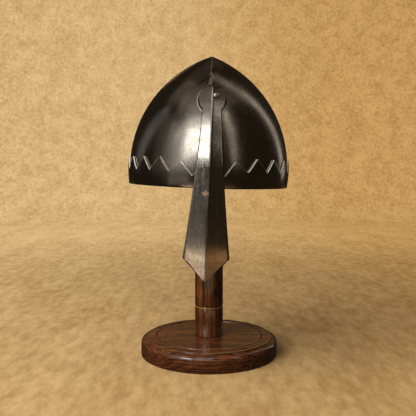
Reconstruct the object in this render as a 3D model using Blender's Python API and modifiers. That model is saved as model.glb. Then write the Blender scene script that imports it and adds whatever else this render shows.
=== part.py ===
"""Nasal helmet on a turned wooden stand.

Metres, +Z up. The origin is the centre of the stand's foot, and the helmet's
front, with the nasal, faces -Y. The helmet is modelled in its own frame, whose
zero level is the rim, and a level below is a height above that rim. An empty
then leans it on the stand's head, as it hangs in real life.
"""

import math

import bmesh
import bpy
from mathutils import Vector

# Skull: a thin steel bowl with a keel from the brow over the crown to the nape
SKULL_HALF_WIDTH = 0.0981
SKULL_HALF_LENGTH = 0.112
CROWN_HEIGHT = 0.158
BELLY_HEIGHT = 0.0226  # level where the bowl is widest
SKULL_WALL = 0.0016
SIDE_FULLNESS = 0.3  # how much squarer than an ellipse the outline is from the side
KEEL_FOLD = math.radians(6)  # half of the keel's fold, at the rim
RIM_DIP = 0.002  # how far the rim drops at the brow and the nape

# Brow band: a strip round the rim, its upper edge cut in teeth
BAND_WALL = 0.0015
BAND_GAP = 0.0004
BAND_FOOT = 0.0006  # level of its lower edge
TOOTH_ROOT = 0.018
TOOTH_TIP = 0.033
TOOTH_PITCH = 0.029
TOOTH_LEAN = 0.43  # share of a tooth's length from its front notch to its tip
FRONT_TOOTH_HALF = 0.0176  # half of the wide tooth that the nasal hides
FRONT_ROOT_DROP = 0.0046  # how much deeper the two notches beside the nasal are
FRONT_TIP_DROP = 0.004

# Nasal: a folded plate from the crown's front to below the nose
NASAL_WALL = 0.002
NASAL_GAP = 0.0004
NASAL_FOLD = math.radians(20)  # slope of each half from the ridge
NASAL_LOBE_RADIUS = 0.0147
NASAL_LOBE_LEVEL = 0.0956
NASAL_NECK_HALF = 0.010
NASAL_CORNER_HALF = 0.0248
NASAL_CORNER_LEVEL = -0.0748
NASAL_TIP_LEVEL = -0.0993
NASAL_WIDENING = 1.3  # power by which it widens from the neck to the corners
NASAL_FLARE = 0.0035  # how far the tip stands forward of the brow
NASAL_SETTLE = 0.025  # length over which it comes down from the band to the skull
NASAL_SIDE_SET = 0.0018  # how far its lobe stands to the side of the keel

# Rivet through the nasal's lobe and the skull
RIVET_HEAD_RADIUS = 0.0037
RIVET_HEAD_HEIGHT = 0.0027
RIVET_SHANK_RADIUS = 0.0018
RIVET_BUTT_RADIUS = 0.0031
RIVET_BUTT_HEIGHT = 0.001
RIVET_LEVEL = 0.0987
RIVET_FROM_RIDGE = 0.0031
RIVET_GAP = 0.0003
RIVET_PLAY = 0.0006  # free length of the shank beside the two plates

# Stand
BASE_RADIUS = 0.086
BASE_HEIGHT = 0.0226
BASE_SHOULDER = 0.0065  # radius of the rounded edge
BASE_FOOT_ROUND = 0.0015
PLATEAU_RADIUS = 0.079
PLATEAU_STEP = 0.0016
GROOVE_RADIUS = 0.0665
GROOVE_HALF = 0.0007
POST_RADIUS = 0.0177
POST_ROUND = 0.0006
RING_LEVEL = 0.0585  # height of the brass ring's lower face above the foot
RING_THICKNESS = 0.0015
RING_INSET = 0.0008
TENON_RADIUS = 0.010
TENON_LENGTH = 0.014
FIT_GAP = 0.0003
STAND_HEAD_RADIUS = 0.050
STAND_HEAD_SKIRT = 0.008
STAND_HEAD_UNDERCUT = 0.006

# How the helmet sits on the stand
RIM_LEVEL = 0.212  # height of the rim above the foot
HELMET_LEAN = math.radians(1.8)  # towards +X
HELMET_SIDE_SET = 0.0019  # how far its axis passes beside the stand's, at the stand's head
SEAT_GAP = 0.0004

# Fineness of the facets
CROWN_ROWS = 14
BELLY_ROWS = 2
SKULL_COLUMNS = 20
BAND_ROWS = 3
LOBE_STEPS = 8
NASAL_ROWS = 18
TURNED_SIDES = 44
RIVET_SIDES = 16
ARC_STEPS = 4
DOME_STEPS = 9
SHARP_ANGLE = math.radians(35)
MERGE_DISTANCE = 0.00001

# What follows from the sizes above
CROWN_RISE = CROWN_HEIGHT - BELLY_HEIGHT
SIDE_ARC = (CROWN_RISE**2 + SKULL_HALF_WIDTH**2) / (2 * SKULL_HALF_WIDTH)
SIDE_ARC_CENTRE = SIDE_ARC - SKULL_HALF_WIDTH  # beyond the keel plane
SIDE_POWER = 2 + SIDE_FULLNESS
CROWN_FOLD = math.atan(SIDE_ARC_CENTRE / CROWN_RISE)
BAND_PROUD = BAND_GAP + BAND_WALL
NASAL_SLOPE = math.tan(NASAL_FOLD)
NASAL_NECK_LEVEL = NASAL_LOBE_LEVEL - math.sqrt(
    NASAL_LOBE_RADIUS**2 - NASAL_NECK_HALF**2
)
RING_TOP = RING_LEVEL + RING_THICKNESS

# Height of the stand's head above the rim: its dome then touches one side of the bowl
HEAD_LEVEL = BELLY_HEIGHT + math.sqrt(
    (SIDE_ARC - SKULL_WALL - STAND_HEAD_RADIUS - SEAT_GAP) ** 2
    - (SIDE_ARC_CENTRE + HELMET_SIDE_SET) ** 2
)
HEAD_HEIGHT = RIM_LEVEL + HEAD_LEVEL
HEAD_UNDERSIDE = HEAD_HEIGHT - STAND_HEAD_SKIRT - STAND_HEAD_UNDERCUT


def clear_scene():
    for obj in list(bpy.data.objects):
        bpy.data.objects.remove(obj, do_unlink=True)


def new_collection(name):
    collection = bpy.data.collections.new(name)
    bpy.context.scene.collection.children.link(collection)
    return collection


def make_material(name, colour, roughness, metallic):
    material = bpy.data.materials.new(name)
    material.use_nodes = True
    shader = material.node_tree.nodes["Principled BSDF"]
    shader.inputs["Base Color"].default_value = (*colour, 1)
    shader.inputs["Roughness"].default_value = roughness
    shader.inputs["Metallic"].default_value = metallic
    return material


def add_object(name, mesh, collection, material, parent=None):
    obj = bpy.data.objects.new(name, mesh)
    collection.objects.link(obj)
    if material:
        mesh.materials.append(material)
    obj.parent = parent
    return obj


def surface_mesh(name, rows):
    """An open mesh through rows of points. A row of one point closes the mesh to a tip."""
    shape = bmesh.new()
    rings = [[shape.verts.new(point) for point in row] for row in rows]
    for low, high in zip(rings, rings[1:]):
        for column in range(max(len(low), len(high)) - 1):
            corners = low[column : column + 2] if len(low) > 1 else low
            corners = corners + (high[column : column + 2][::-1] if len(high) > 1 else high)
            shape.faces.new(corners)
    mesh = bpy.data.meshes.new(name)
    shape.to_mesh(mesh)
    shape.free()
    return mesh


def add_mirror(obj):
    mirror = obj.modifiers.new("Other side", "MIRROR")
    mirror.merge_threshold = MERGE_DISTANCE


def add_wall(obj, thickness, outwards):
    wall = obj.modifiers.new("Wall", "SOLIDIFY")
    wall.thickness = thickness
    wall.offset = 1 if outwards else -1
    wall.use_even_offset = True
    wall.use_quality_normals = True


def turned(name, profile, sides, collection, material, parent=None):
    """A turned solid. Its profile of (radius, height) runs down the outer side."""
    edges = [(i, i + 1) for i in range(len(profile) - 1)]
    if profile[0][0] > 0:
        edges.append((len(profile) - 1, 0))
    mesh = bpy.data.meshes.new(name)
    mesh.from_pydata([(radius, 0, height) for radius, height in profile], edges, [])
    obj = add_object(name, mesh, collection, material, parent)
    screw = obj.modifiers.new("Turn", "SCREW")
    screw.steps = screw.render_steps = sides
    screw.use_merge_vertices = True
    screw.merge_threshold = MERGE_DISTANCE
    return obj


def arc(radius, height, size, start, end, steps=ARC_STEPS):
    """Points of a profile's arc round (radius, height), between two angles in degrees."""
    turns = [math.radians(start + (end - start) * i / steps) for i in range(steps + 1)]
    return [(radius + size * math.cos(a), height + size * math.sin(a)) for a in turns]


# The skull's surface


def half_width(level):
    """Half of the bowl's width: one arc from the rim to the keel, widest at the belly."""
    return math.sqrt(SIDE_ARC**2 - (level - BELLY_HEIGHT) ** 2) - SIDE_ARC_CENTRE


def half_length(level):
    if level < BELLY_HEIGHT:
        return SKULL_HALF_LENGTH - SKULL_HALF_WIDTH + half_width(level)
    share = (level - BELLY_HEIGHT) / CROWN_RISE
    return SKULL_HALF_LENGTH * (1 - share**SIDE_POWER) ** (1 / SIDE_POWER)


def keel_steepness(level):
    """Sine of the keel's angle to the horizontal."""
    if level <= BELLY_HEIGHT:
        return 1
    along = half_length(level) / SKULL_HALF_LENGTH
    up = (level - BELLY_HEIGHT) / CROWN_RISE
    rise = CROWN_RISE / SKULL_HALF_LENGTH * (along / up) ** (SIDE_POWER - 1)
    return rise / math.hypot(1, rise)


def section(level, proud=0):
    """(reach, spread, turn, pull) of one side's arc at a level, proud of the skull.

    The arc is part of an ellipse whose centre lies a distance pull beyond the keel
    plane, so that the two sides meet in the keel's fold.
    """
    width = half_width(level) + proud
    length = half_length(level) + proud
    fold = KEEL_FOLD + (CROWN_FOLD - KEEL_FOLD) * max(level, 0) / CROWN_HEIGHT
    bend = math.tan(fold) * width / (length * keel_steepness(level))
    share = bend / (1 - bend)
    reach = width / (1 - share)
    turn = math.acos(share)
    return reach, length / math.sin(turn), turn, reach * share


def skull_point(level, along, proud=0):
    """A point of the +X side, with along from -1 at the brow to 1 at the nape."""
    reach, spread, turn, pull = section(level, proud)
    x = reach * math.cos(along * turn) - pull if abs(along) < 1 else 0
    y = spread * math.sin(along * turn)
    dip = RIM_DIP * (1 - level / CROWN_HEIGHT) * math.sin(along * turn) ** 2
    return Vector((x, y, level - dip))


def front_reach(x, level, proud=0):
    """How far forward the surface lies at a distance x from the keel plane."""
    reach, spread, turn, pull = section(level, proud)
    return spread * math.sin(math.acos(min((abs(x) + pull) / reach, 1)))


def skull_levels():
    below = [BELLY_HEIGHT * i / BELLY_ROWS for i in range(BELLY_ROWS)]
    turns = [math.pi / 2 * i / CROWN_ROWS for i in range(CROWN_ROWS)]
    return below + [BELLY_HEIGHT + CROWN_RISE * math.sin(t) ** (2 / SIDE_POWER) for t in turns]


def make_skull(collection, material, helmet):
    rows = [
        [skull_point(level, 2 * i / SKULL_COLUMNS - 1) for i in range(SKULL_COLUMNS + 1)]
        for level in skull_levels()
    ]
    rows.append([Vector((0, 0, CROWN_HEIGHT))])
    skull = add_object("skull", surface_mesh("skull", rows), collection, material, helmet)
    add_mirror(skull)
    add_wall(skull, SKULL_WALL, outwards=False)
    return skull


# The brow band


def lengths_along(level, proud, samples=400):
    """[(length along the section from the brow, along)] for one side."""
    places = [2 * i / samples - 1 for i in range(samples + 1)]
    points = [skull_point(level, along, proud) for along in places]
    total = 0
    table = [(0, places[0])]
    for before, after, along in zip(points, points[1:], places[1:]):
        total += (after - before).xy.length
        table.append((total, along))
    return table


def place_at(length, table):
    for (low, start), (high, end) in zip(table, table[1:]):
        if length <= high:
            return start + (end - start) * (length - low) / (high - low)
    return 1


def tooth_line(half_girth):
    """[(length from the brow, level of the upper edge)] at each notch and tip."""
    count = round((half_girth - FRONT_TOOTH_HALF) / TOOTH_PITCH)
    pitch = (half_girth - FRONT_TOOTH_HALF) / count
    line = [(0, TOOTH_TIP)]
    for tooth in range(count):
        notch = FRONT_TOOTH_HALF + pitch * tooth
        beside_nasal = tooth == 0
        line.append((notch, TOOTH_ROOT - FRONT_ROOT_DROP * beside_nasal))
        line.append((notch + pitch * TOOTH_LEAN, TOOTH_TIP - FRONT_TIP_DROP * beside_nasal))
    return line + [(half_girth, TOOTH_ROOT)]


def make_band(collection, material, helmet):
    table = lengths_along(TOOTH_ROOT, BAND_GAP)
    line = tooth_line(table[-1][0])
    middles = [((a + c) / 2, (b + d) / 2) for (a, b), (c, d) in zip(line, line[1:])]
    places = [(place_at(length, table), top) for length, top in sorted(line + middles)]
    places[0] = (-1, places[0][1])
    places[-1] = (1, places[-1][1])
    rows = [
        [
            skull_point(BAND_FOOT + (top - BAND_FOOT) * i / BAND_ROWS, along, BAND_GAP)
            for along, top in places
        ]
        for i in range(BAND_ROWS + 1)
    ]
    band = add_object("brow_band", surface_mesh("brow_band", rows), collection, material, helmet)
    add_mirror(band)
    add_wall(band, BAND_WALL, outwards=True)


# The nasal


def nasal_half_width(level):
    if level < NASAL_CORNER_LEVEL:
        down = (level - NASAL_TIP_LEVEL) / (NASAL_CORNER_LEVEL - NASAL_TIP_LEVEL)
        return NASAL_CORNER_HALF * max(down, 0)
    lobe = math.sqrt(max(NASAL_LOBE_RADIUS**2 - (level - NASAL_LOBE_LEVEL) ** 2, 0))
    if level >= NASAL_NECK_LEVEL:
        return lobe
    down = (NASAL_NECK_LEVEL - level) / (NASAL_NECK_LEVEL - NASAL_CORNER_LEVEL)
    growth = NASAL_CORNER_HALF - NASAL_NECK_HALF
    return NASAL_NECK_HALF + growth * down**NASAL_WIDENING


def nasal_side_set(level):
    """How far the ridge stands to the side of the keel: nothing at the tip."""
    return NASAL_SIDE_SET * (level - NASAL_TIP_LEVEL) / (NASAL_LOBE_LEVEL - NASAL_TIP_LEVEL)


def nasal_ridge(level):
    """How far forward the back of the ridge lies."""
    if level < BELLY_HEIGHT:
        down = (BELLY_HEIGHT - level) / (BELLY_HEIGHT - NASAL_TIP_LEVEL)
        return nasal_ridge(BELLY_HEIGHT) + NASAL_FLARE * down**2
    above = min(max((level - TOOTH_TIP) / NASAL_SETTLE, 0), 1)
    proud = BAND_PROUD * (1 - above**2 * (3 - 2 * above))
    side = nasal_side_set(level)
    edge = nasal_half_width(level)
    needed = [
        front_reach(side + edge * share, level, proud) + NASAL_SLOPE * edge * abs(share)
        for share in (-1, -0.5, 0, 0.5, 1)
    ]
    return max(needed) + NASAL_GAP


def nasal_back(level, from_ridge):
    """A point of the nasal's back, which faces the skull."""
    y = NASAL_SLOPE * abs(from_ridge) - nasal_ridge(level)
    height = level - RIM_DIP * (1 - level / CROWN_HEIGHT) if level > 0 else level - RIM_DIP
    return Vector((nasal_side_set(level) + from_ridge, y, height))


def nasal_levels():
    length = NASAL_NECK_LEVEL - NASAL_CORNER_LEVEL
    body = [NASAL_CORNER_LEVEL + length * i / NASAL_ROWS for i in range(NASAL_ROWS)]
    start = math.asin((NASAL_NECK_LEVEL - NASAL_LOBE_LEVEL) / NASAL_LOBE_RADIUS)
    turns = [start + (math.pi / 2 - start) * i / LOBE_STEPS for i in range(LOBE_STEPS)]
    return body + [NASAL_LOBE_LEVEL + NASAL_LOBE_RADIUS * math.sin(t) for t in turns]


def make_nasal(collection, material, helmet):
    rows = [[nasal_back(NASAL_TIP_LEVEL, 0)]]
    for level in nasal_levels():
        edge = nasal_half_width(level)
        rows.append([nasal_back(level, from_ridge) for from_ridge in (-edge, 0, edge)])
    rows.append([nasal_back(NASAL_LOBE_LEVEL + NASAL_LOBE_RADIUS, 0)])
    nasal = add_object("nasal", surface_mesh("nasal", rows), collection, material, helmet)
    add_wall(nasal, NASAL_WALL, outwards=True)
    return nasal


# The rivet


def nasal_normal():
    """Direction out of the nasal's right half at the rivet."""
    step = MERGE_DISTANCE
    here = nasal_back(RIVET_LEVEL, RIVET_FROM_RIDGE)
    across = nasal_back(RIVET_LEVEL, RIVET_FROM_RIDGE + step) - here
    up = nasal_back(RIVET_LEVEL + step, RIVET_FROM_RIDGE) - here
    return across.cross(up).normalized()


def rivet_grip(normal):
    """Length from the nasal's front to the skull's inner side, along the rivet."""
    back = nasal_back(RIVET_LEVEL, RIVET_FROM_RIDGE)
    behind = -back.y - front_reach(back.x, RIVET_LEVEL)
    return NASAL_WALL + behind * abs(normal.y) + SKULL_WALL + RIVET_PLAY


def make_rivet(collection, material, helmet):
    normal = nasal_normal()
    grip = rivet_grip(normal) + RIVET_GAP
    height = RIVET_HEAD_HEIGHT
    dome = (RIVET_HEAD_RADIUS**2 + height**2) / (2 * height)
    edge = math.degrees(math.asin((dome - height) / dome))
    profile = [(0, height)] + arc(0, height - dome, dome, 90, edge)[1:]
    profile += [
        (RIVET_SHANK_RADIUS, 0),
        (RIVET_SHANK_RADIUS, -grip),
        (RIVET_BUTT_RADIUS, -grip),
        (RIVET_SHANK_RADIUS, -grip - RIVET_BUTT_HEIGHT),
        (0, -grip - RIVET_BUTT_HEIGHT),
    ]
    rivet = turned("nasal_rivet", profile, RIVET_SIDES, collection, material, helmet)
    front = nasal_back(RIVET_LEVEL, RIVET_FROM_RIDGE) + normal * NASAL_WALL
    rivet.location = front + normal * RIVET_GAP
    rivet.rotation_euler = normal.to_track_quat("Z", "Y").to_euler()
    return rivet


def drill_for(rivet, plates, cutters, helmet):
    """Cuts the rivet's hole through each plate."""
    length = 2 * (rivet_grip(nasal_normal()) + RIVET_HEAD_HEIGHT + RIVET_BUTT_HEIGHT)
    shape = bmesh.new()
    bmesh.ops.create_cone(
        shape,
        cap_ends=True,
        segments=RIVET_SIDES,
        radius1=RIVET_SHANK_RADIUS + RIVET_GAP,
        radius2=RIVET_SHANK_RADIUS + RIVET_GAP,
        depth=length,
    )
    mesh = bpy.data.meshes.new("rivet_drill")
    shape.to_mesh(mesh)
    shape.free()
    drill = add_object("rivet_drill", mesh, cutters, None, helmet)
    drill.location = rivet.location
    drill.rotation_euler = rivet.rotation_euler
    drill.hide_render = True
    drill.display_type = "WIRE"
    for plate in plates:
        hole = plate.modifiers.new("Rivet hole", "BOOLEAN")
        hole.object = drill
        hole.operation = "DIFFERENCE"
        hole.solver = "EXACT"


# The stand


def tenon(top_or_bottom, up):
    """Profile points of a tenon on a flat face, from the outside in or from the axis out."""
    end = top_or_bottom + (TENON_LENGTH if up else -TENON_LENGTH)
    points = [(0, end), (TENON_RADIUS, end), (TENON_RADIUS, top_or_bottom)]
    return points if up else points[::-1]


def socket(face, up):
    """Profile points of the hole for a tenon that enters a face, going up or down."""
    radius = TENON_RADIUS + FIT_GAP
    end = face + (TENON_LENGTH + FIT_GAP) * (1 if up else -1)
    points = [(0, end), (radius, end), (radius, face)]
    return points[::-1] if up else points


def make_base(collection, material):
    shoulder = BASE_HEIGHT - PLATEAU_STEP - BASE_SHOULDER
    profile = socket(BASE_HEIGHT, up=False)
    profile += [
        (GROOVE_RADIUS - GROOVE_HALF, BASE_HEIGHT),
        (GROOVE_RADIUS, BASE_HEIGHT - GROOVE_HALF),
        (GROOVE_RADIUS + GROOVE_HALF, BASE_HEIGHT),
        (PLATEAU_RADIUS, BASE_HEIGHT),
        (PLATEAU_RADIUS, BASE_HEIGHT - PLATEAU_STEP),
    ]
    profile += arc(BASE_RADIUS - BASE_SHOULDER, shoulder, BASE_SHOULDER, 90, 0)
    foot = BASE_FOOT_ROUND
    profile += [(BASE_RADIUS, foot), (BASE_RADIUS - foot, 0), (0, 0)]
    turned("stand_base", profile, TURNED_SIDES, collection, material)


def make_post(collection, wood, brass):
    edge = POST_RADIUS - POST_ROUND
    foot = BASE_HEIGHT + FIT_GAP
    low_end = RING_LEVEL - FIT_GAP
    profile = tenon(low_end, up=True)
    profile += [(edge, low_end), (POST_RADIUS, low_end - POST_ROUND), (POST_RADIUS, foot)]
    profile += tenon(foot, up=False)
    turned("post_lower", profile, TURNED_SIDES, collection, wood)

    outer = POST_RADIUS - RING_INSET
    inner = TENON_RADIUS + FIT_GAP
    profile = [(inner, RING_TOP), (outer, RING_TOP), (outer, RING_LEVEL), (inner, RING_LEVEL)]
    turned("post_ring", profile, TURNED_SIDES, collection, brass)

    low = RING_TOP + FIT_GAP
    high = HEAD_UNDERSIDE - FIT_GAP
    profile = tenon(high, up=True)
    profile += [(POST_RADIUS, high), (POST_RADIUS, low + POST_ROUND), (edge, low)]
    profile += socket(low, up=True)
    turned("post_upper", profile, TURNED_SIDES, collection, wood)


def make_stand_head(collection, material):
    skirt = HEAD_HEIGHT - STAND_HEAD_SKIRT
    dome = arc(0, HEAD_HEIGHT, STAND_HEAD_RADIUS, 90, 0, DOME_STEPS)
    profile = [(0, HEAD_HEIGHT + STAND_HEAD_RADIUS)] + dome[1:]
    profile += [
        (STAND_HEAD_RADIUS, skirt),
        (STAND_HEAD_RADIUS - STAND_HEAD_UNDERCUT, HEAD_UNDERSIDE),
    ]
    profile += socket(HEAD_UNDERSIDE, up=True)
    turned("stand_head", profile, TURNED_SIDES, collection, material)


def add_helmet_frame(collection):
    """The empty that leans the helmet on the stand's head, and its child at the rim."""
    seat = bpy.data.objects.new("helmet_seat", None)
    collection.objects.link(seat)
    seat.location = (HELMET_SIDE_SET, 0, HEAD_HEIGHT)
    seat.rotation_euler = (0, HELMET_LEAN, 0)
    rim = bpy.data.objects.new("helmet_rim", None)
    collection.objects.link(rim)
    rim.parent = seat
    rim.location = (0, 0, -HEAD_LEVEL)
    return rim


def settle_meshes(collection):
    """Applies the modifiers and shades the round faces smooth."""
    bpy.context.view_layer.update()
    graph = bpy.context.evaluated_depsgraph_get()
    solids = [obj for obj in collection.objects if obj.type == "MESH"]
    meshes = [bpy.data.meshes.new_from_object(obj.evaluated_get(graph)) for obj in solids]
    for obj, mesh in zip(solids, meshes):
        obj.modifiers.clear()
        obj.data = mesh
        mesh.name = obj.name
        mesh.shade_smooth()
        mesh.set_sharp_from_angle(angle=SHARP_ANGLE)


def main():
    clear_scene()
    parts = new_collection("nasal_helmet_on_stand")
    cutters = new_collection("cutters")
    steel = make_material("polished steel", (0.42, 0.38, 0.33), 0.25, 1)
    wood = make_material("dark wood", (0.09, 0.03, 0.015), 0.35, 0)
    brass = make_material("brass", (0.8, 0.55, 0.2), 0.25, 1)

    helmet = add_helmet_frame(parts)
    skull = make_skull(parts, steel, helmet)
    make_band(parts, steel, helmet)
    nasal = make_nasal(parts, steel, helmet)
    rivet = make_rivet(parts, steel, helmet)
    drill_for(rivet, [skull, nasal], cutters, helmet)

    make_base(parts, wood)
    make_post(parts, wood, brass)
    make_stand_head(parts, wood)
    settle_meshes(parts)


main()
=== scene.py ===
# %% [markdown]
# # A nasal helmet on a turned wooden stand
# This lesson dresses a finished CAD model in Blender. The CAD solids are the frame. Each piece of
# the helmet and of its stand is modelled again, finer, in the very place of its solid, and then
# gets a finish: polished steel, stained wood or brass.
#
# Lengths are in metres. The stand's post runs up the z axis, and the nasal faces -y.

# %% Load the frame
import math

import bpy
from mathutils import Matrix, Vector, noise


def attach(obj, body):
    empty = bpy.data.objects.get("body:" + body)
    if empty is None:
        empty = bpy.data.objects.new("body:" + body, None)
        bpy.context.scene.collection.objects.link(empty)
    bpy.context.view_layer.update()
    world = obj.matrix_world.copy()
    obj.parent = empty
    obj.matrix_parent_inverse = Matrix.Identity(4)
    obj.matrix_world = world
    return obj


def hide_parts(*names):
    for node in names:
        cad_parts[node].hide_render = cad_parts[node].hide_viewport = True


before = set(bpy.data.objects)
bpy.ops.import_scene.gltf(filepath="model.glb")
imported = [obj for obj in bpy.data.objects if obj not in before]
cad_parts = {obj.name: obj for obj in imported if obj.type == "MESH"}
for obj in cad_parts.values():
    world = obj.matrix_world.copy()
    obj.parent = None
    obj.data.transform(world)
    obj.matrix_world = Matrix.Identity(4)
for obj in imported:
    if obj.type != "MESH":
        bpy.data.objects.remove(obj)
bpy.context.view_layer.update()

print("CAD nodes:", ", ".join(sorted(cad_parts)))

# %% [markdown]
# ## The camera
# The photograph was taken from straight in front, about 0.7 m away and a little above the
# middle of the helmet, with a normal lens. A longer lens from further off would make the round
# base look flatter, so the distance matters as much as the frame.

# %% Set up the camera
CAMERA_PLACE = (-0.00126, -0.710, 0.2196)
CAMERA_TILT = math.radians(87.14)
SENSOR_WIDTH = 36
FOCAL_LENGTH = 562 / 416 * SENSOR_WIDTH

bpy.ops.object.camera_add(location=CAMERA_PLACE, rotation=(CAMERA_TILT, 0, 0))
camera = bpy.context.object
camera.name = "photo_camera"
camera.data.sensor_width = SENSOR_WIDTH
camera.data.lens = FOCAL_LENGTH
camera.data.clip_start = 0.01
bpy.context.scene.camera = camera
print("Camera lens:", round(camera.data.lens, 1), "mm")

# %% [markdown]
# ## Helpers for modelling
# An operator works on whatever is selected, so every step starts from nothing selected. A
# modifier is a recipe, and applying it turns its result into plain mesh that can be exported.
# Mirroring can leave faces that point inwards, so they are turned before a sheet gets its wall.


# %% Select and apply
def deselect_all():
    bpy.ops.object.select_all(action="DESELECT")


def pick(piece):
    deselect_all()
    piece.select_set(True)
    bpy.context.view_layer.objects.active = piece


def apply_modifier(piece, kind, **settings):
    pick(piece)
    modifier = piece.modifiers.new(kind.title(), kind)
    for setting, value in settings.items():
        setattr(modifier, setting, value)
    bpy.ops.object.modifier_apply(modifier=modifier.name)


def shade(piece, sharp_angle):
    pick(piece)
    bpy.ops.object.shade_smooth_by_angle(angle=math.radians(sharp_angle))


def face_outwards(piece):
    pick(piece)
    bpy.ops.object.mode_set(mode="EDIT")
    bpy.ops.mesh.select_all(action="SELECT")
    bpy.ops.mesh.normals_make_consistent(inside=False)
    bpy.ops.object.mode_set(mode="OBJECT")


def report_piece(piece):
    low, high = [
        [round(1000 * pick_end(v.co[i] for v in piece.data.vertices), 1) for i in range(3)]
        for pick_end in (min, max)
    ]
    print(f"{piece.name}: {len(piece.data.polygons)} faces, from {low} to {high} mm")


# %% [markdown]
# ## A sheet that is beaten into shape
# A smith starts from a flat plate and drives it over a form. The same works here: a flat grid is
# added, and each of its points is then set on the form by a formula. The grid keeps its tidy
# rows, so the plate stays smooth, and a Solidify modifier gives it the thickness of its metal.
# Three empty material slots let a modifier mark the edges that it makes for a finish of their own.
# Points are merged only where they coincide, because at the crown true neighbours lie within a
# hundredth of a millimetre of each other. Edges sharper than 50 degrees are the ones to bevel.

# %% Beat a sheet over a form
MERGE_DISTANCE = 0.0000003
MARKED_SLOTS = 3
EDGE_ANGLE = math.radians(50)


def beat_sheet(name, columns, rows, place):
    """A grid whose every point (across, up), each from 0 to 1, goes where place() puts it."""
    deselect_all()
    bpy.ops.mesh.primitive_grid_add(x_subdivisions=columns, y_subdivisions=rows, size=1)
    sheet = bpy.context.object
    sheet.name = sheet.data.name = name
    for slot in range(MARKED_SLOTS):
        sheet.data.materials.append(None)
    for point in sheet.data.vertices:
        point.co = place(point.co.x + 0.5, point.co.y + 0.5)
    bpy.ops.object.mode_set(mode="EDIT")
    bpy.ops.mesh.select_all(action="SELECT")
    bpy.ops.mesh.remove_doubles(threshold=MERGE_DISTANCE)
    bpy.ops.object.mode_set(mode="OBJECT")
    return sheet


# %% [markdown]
# ## Where the helmet sits
# The helmet hangs on a dome and leans 1.8 degrees to one side. It is easiest to shape it upright,
# with its rim at level zero, and then to carry every point through one matrix.

# %% The helmet's own frame
RIM_LEVEL = 0.212
HELMET_LEAN = math.radians(1.8)
HELMET_SIDE_SET = 0.0019
SEAT_GAP = 0.0004
STAND_HEAD_RADIUS = 0.050

SKULL_HALF_WIDTH = 0.0981
SKULL_HALF_LENGTH = 0.112
CROWN_HEIGHT = 0.158
BELLY_HEIGHT = 0.0226
SKULL_WALL = 0.0016
CROWN_RISE = CROWN_HEIGHT - BELLY_HEIGHT
SIDE_ARC = (CROWN_RISE**2 + SKULL_HALF_WIDTH**2) / (2 * SKULL_HALF_WIDTH)
SIDE_ARC_CENTRE = SIDE_ARC - SKULL_HALF_WIDTH

HEAD_LEVEL = BELLY_HEIGHT + math.sqrt(
    (SIDE_ARC - SKULL_WALL - STAND_HEAD_RADIUS - SEAT_GAP) ** 2
    - (SIDE_ARC_CENTRE + HELMET_SIDE_SET) ** 2
)
HEAD_HEIGHT = RIM_LEVEL + HEAD_LEVEL

seat = Matrix.Translation((HELMET_SIDE_SET, 0, HEAD_HEIGHT))
lean = Matrix.Rotation(HELMET_LEAN, 4, "Y")
on_stand = seat @ lean @ Matrix.Translation((0, 0, -HEAD_LEVEL))
print("Rim's centre on the stand:", [round(c, 4) for c in on_stand.translation])

# %% [markdown]
# ## The form of the skull
# From the front the bowl is a pointed arch: each side is one arc from the rim to the keel. Seen
# from the side it is a little squarer than an ellipse. Each level is cut as two arcs that meet in
# a fold, faint at the rim and strong at the crown, which makes the keel.

# %% The form's formulas
SIDE_POWER = 2.3
KEEL_FOLD = math.radians(6)
CROWN_FOLD = math.atan(SIDE_ARC_CENTRE / CROWN_RISE)
RIM_DIP = 0.002


def half_width(level):
    return math.sqrt(SIDE_ARC**2 - (level - BELLY_HEIGHT) ** 2) - SIDE_ARC_CENTRE


def half_length(level):
    if level < BELLY_HEIGHT:
        return SKULL_HALF_LENGTH - SKULL_HALF_WIDTH + half_width(level)
    share = (level - BELLY_HEIGHT) / CROWN_RISE
    return SKULL_HALF_LENGTH * (1 - share**SIDE_POWER) ** (1 / SIDE_POWER)


def keel_steepness(level):
    if level <= BELLY_HEIGHT:
        return 1
    along = half_length(level) / SKULL_HALF_LENGTH
    up = (level - BELLY_HEIGHT) / CROWN_RISE
    rise = CROWN_RISE / SKULL_HALF_LENGTH * (along / up) ** (SIDE_POWER - 1)
    return rise / math.hypot(1, rise)


def section(level, proud=0):
    """The reach, spread, turn and pull of one side's arc, a distance proud of the skull."""
    width = half_width(level) + proud
    length = half_length(level) + proud
    fold = KEEL_FOLD + (CROWN_FOLD - KEEL_FOLD) * max(level, 0) / CROWN_HEIGHT
    bend = math.tan(fold) * width / (length * keel_steepness(level))
    share = bend / (1 - bend)
    reach = width / (1 - share)
    turn = math.acos(share)
    return reach, length / math.sin(turn), turn, reach * share


def skull_point(level, along, proud=0):
    """A point of the right side, with along from -1 at the brow to 1 at the nape."""
    reach, spread, turn, pull = section(level, proud)
    x = reach * math.cos(along * turn) - pull if abs(along) < 1 else 0
    y = spread * math.sin(along * turn)
    dip = RIM_DIP * (1 - level / CROWN_HEIGHT) * math.sin(along * turn) ** 2
    return Vector((x, y, level - dip))


def front_reach(x, level, proud=0):
    reach, spread, turn, pull = section(level, proud)
    return spread * math.sin(math.acos(min((abs(x) + pull) / reach, 1)))


print("Skull is", round(2 * SKULL_HALF_WIDTH, 4), "m wide and", 2 * SKULL_HALF_LENGTH, "m long")

# %% [markdown]
# ## The skull
# The real bowl is two beaten halves that are welded along the keel and filed nearly smooth. A
# half is laid out as a sheet, mirrored, and given its wall. Columns crowd towards the keel, where
# the weld's low bead needs them. A hammer never leaves steel quite even, so a soft noise lets
# the surface sink here and there by a few hundredths of a millimetre: reflections show it.

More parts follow.
